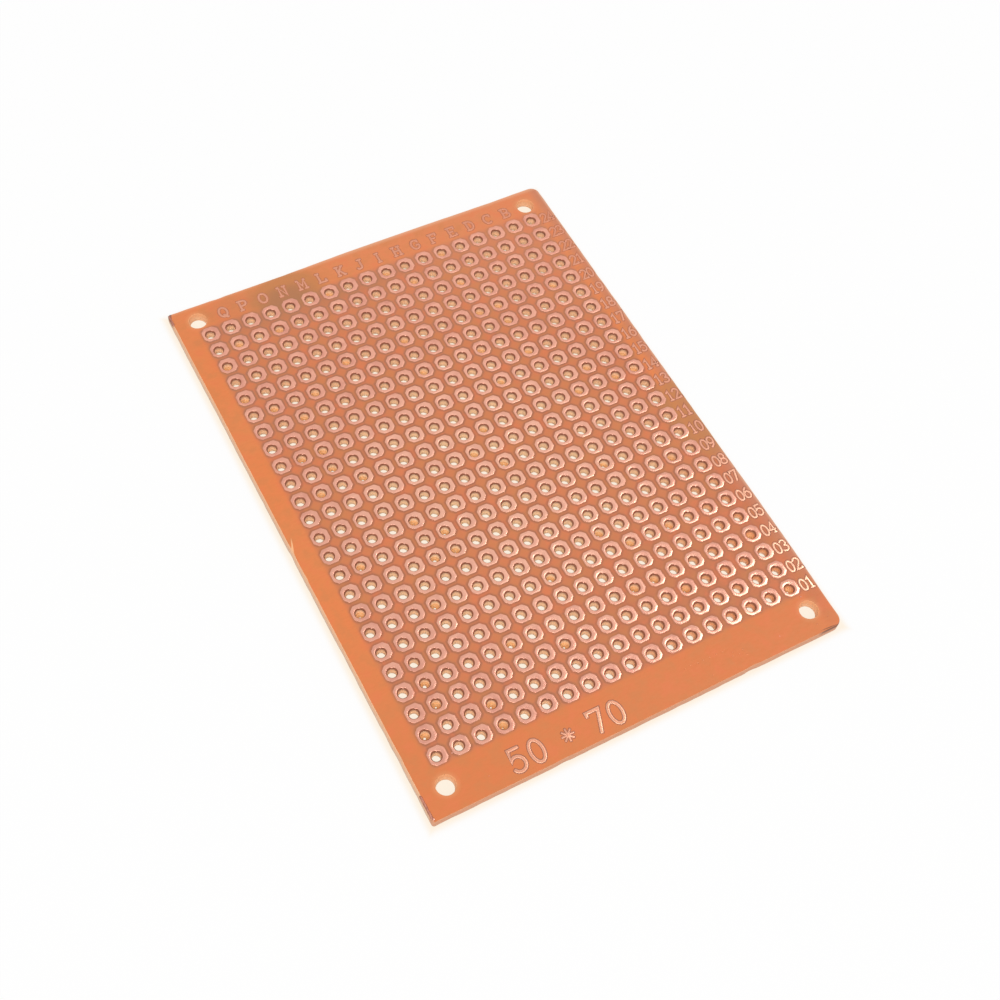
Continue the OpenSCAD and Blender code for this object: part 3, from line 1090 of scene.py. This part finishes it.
def add_camera():
    studio = bpy.context.scene.studio_settings
    back = Vector((math.sin(studio.azimuth) * math.cos(studio.elevation),
                   -math.cos(studio.azimuth) * math.cos(studio.elevation),
                   math.sin(studio.elevation)))
    side = Vector((0, 0, 1)).cross(back).normalized()
    up = back.cross(side)
    turn = Matrix.Rotation(studio.roll, 3, back)
    axes = Matrix((turn @ side, turn @ up, back)).transposed()
    camera = bpy.data.cameras.new("camera")
    camera.lens, camera.sensor_width = studio.lens, 36.0
    camera.clip_start, camera.clip_end = 0.005, 10.0
    made = add_object("camera", camera)
    place = Matrix.Translation(Vector(studio.aim) + back * studio.distance)
    made.matrix_world = place @ axes.to_4x4()
    bpy.context.scene.camera = made


# ------------ operators

class BOARD_OT_stage(Operator):
    """Sets up the floor, the light and the camera"""
    bl_idname = "board.stage"
    bl_label = "Studio"

    def execute(self, context):
        add_camera()
        add_floor()
        add_world()
        studio = context.scene.studio_settings
        add_softbox("sheen_lamp", (0.53, 0.055, 0.846), studio.sheen_power, distance=0.7, size=0.18)
        add_softbox("fill_lamp", (-0.35, -0.50, 0.79), studio.fill_power, distance=0.8, size=0.5)
        context.scene.view_settings.view_transform = "Standard"
        return {"FINISHED"}


class BOARD_OT_laminate(Operator):
    """Makes the punched and sheared phenolic sheet"""
    bl_idname = "board.laminate"
    bl_label = "Laminate"

    def execute(self, context):
        # the skin is pale with painted light that comes up through the thin resin from the floor
        skin = cloudy_finish("resin_skin", (3.0, 3.0, 0.6), (0.98, 0.83, 0.62),
                             (0.95, 0.71, 0.47), 0.5)
        finishes = [phenolic_finish(), edge_finish(), wall_finish(), underside_finish(), skin,
                    bore_finish()]
        piece = laminate_shell().piece("punched_sheet", finishes, "phenolic")
        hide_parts("laminate")
        return {"FINISHED"}


class BOARD_OT_pads(Operator):
    """Makes the copper pads, a piece for each row"""
    bl_idname = "board.pads"
    bl_label = "Copper pads"

    def execute(self, context):
        foil = copper_finish()
        for row, node in enumerate(PAD_ROWS):
            piece = pad_row_shell(row).piece(f"foil_row_{row + 1:02d}", [foil], "copper")
            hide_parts(node)
        return {"FINISHED"}


class BOARD_OT_lettering(Operator):
    """Makes the column letters, the row numbers and the figures in the lower margin"""
    bl_idname = "board.lettering"
    bl_label = "Foil lettering"

    def execute(self, context):
        # Lit and shaded copies of the foil: the rims a touch lighter as a painted edge highlight, the
        # middles duller, and the margin figures' middles darker still as painted shade.
        rims, middles, shaded_middles = (
            lettering_finish("lettering_" + part, near, far) for part, near, far in (
                ("rims", (0.93, 0.73, 0.61), (0.84, 0.59, 0.48)),
                ("middles", (0.93, 0.71, 0.59), (0.84, 0.58, 0.47)),
                ("shaded_middles", (0.86, 0.60, 0.48), (0.82, 0.55, 0.45))))
        foil, halos = {}, Shell()
        for name, letter, centre, size, stroke in lettering():
            shell = foil.setdefault(name, Shell())
            add_letter(shell, letter, centre, size, stroke, FOIL)
            # under each letter, a thin sheet of painted shade
            add_letter(halos, letter, centre, size, stroke + HALO_REACH, HALO_RISE)
        for name, shell in foil.items():
            # the margin figures take the darker, shaded middles
            inner = shaded_middles if name == "margin_figures" else middles
            shell.piece(name, [rims, inner], "copper")
        halo = halo_finish()
        halos.piece("lettering_shade_halos", [halo, halo], "phenolic")
        return {"FINISHED"}


class BOARD_OT_remains(Operator):
    """Makes the slips of foil on the edge, the etching's crumbs and the beads of resin"""
    bl_idname = "board.remains"
    bl_label = "Foil remains"

    def execute(self, context):
        foil = bpy.data.materials["copper_foil"]
        slips = edge_slips_shell().piece("edge_slips", [dark_foil_finish()], "copper")
        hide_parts("panel_marks")
        flecks_shell().piece("foil_flecks", [foil], "copper")
        resin = cloudy_finish("resin_beads", (1.0, 2.0, 0.5), (0.93, 0.60, 0.42),
                              (0.90, 0.54, 0.33), 0.35)
        beads_shell().piece("resin_beads", [resin], "phenolic")
        return {"FINISHED"}


class BOARD_PT_sidebar(Panel):
    """Lists the board's pieces and sizes"""
    bl_idname = "BOARD_PT_sidebar"
    bl_label = "Prototype Board"
    bl_space_type = "VIEW_3D"
    bl_region_type = "UI"
    bl_category = "Prototype Board"

    def draw(self, context):
        for step in STEPS:
            self.layout.operator(step.bl_idname)
        for name, kind in GROUPS.items():
            column = self.layout.column(align=True)
            for setting in kind.__annotations__:
                column.prop(getattr(context.scene, name), setting)


STEPS = (BOARD_OT_stage, BOARD_OT_laminate, BOARD_OT_pads, BOARD_OT_lettering,
         BOARD_OT_remains)
GROUPS = {"board_sizes": BoardSizes, "board_colours": BoardColours, "studio_settings": StudioSettings}
CLASSES = (*GROUPS.values(), *STEPS, BOARD_PT_sidebar)


def register():
    for made in CLASSES:
        bpy.utils.register_class(made)
    for name, kind in GROUPS.items():
        setattr(bpy.types.Scene, name, PointerProperty(type=kind))


def unregister():
    for name in GROUPS:
        delattr(bpy.types.Scene, name)
    for made in reversed(CLASSES):
        bpy.utils.unregister_class(made)


def main():
    register()
    for step in STEPS:
        package, name = step.bl_idname.split(".")
        getattr(getattr(bpy.ops, package), name)()


if __name__ == "__main__":
    main()
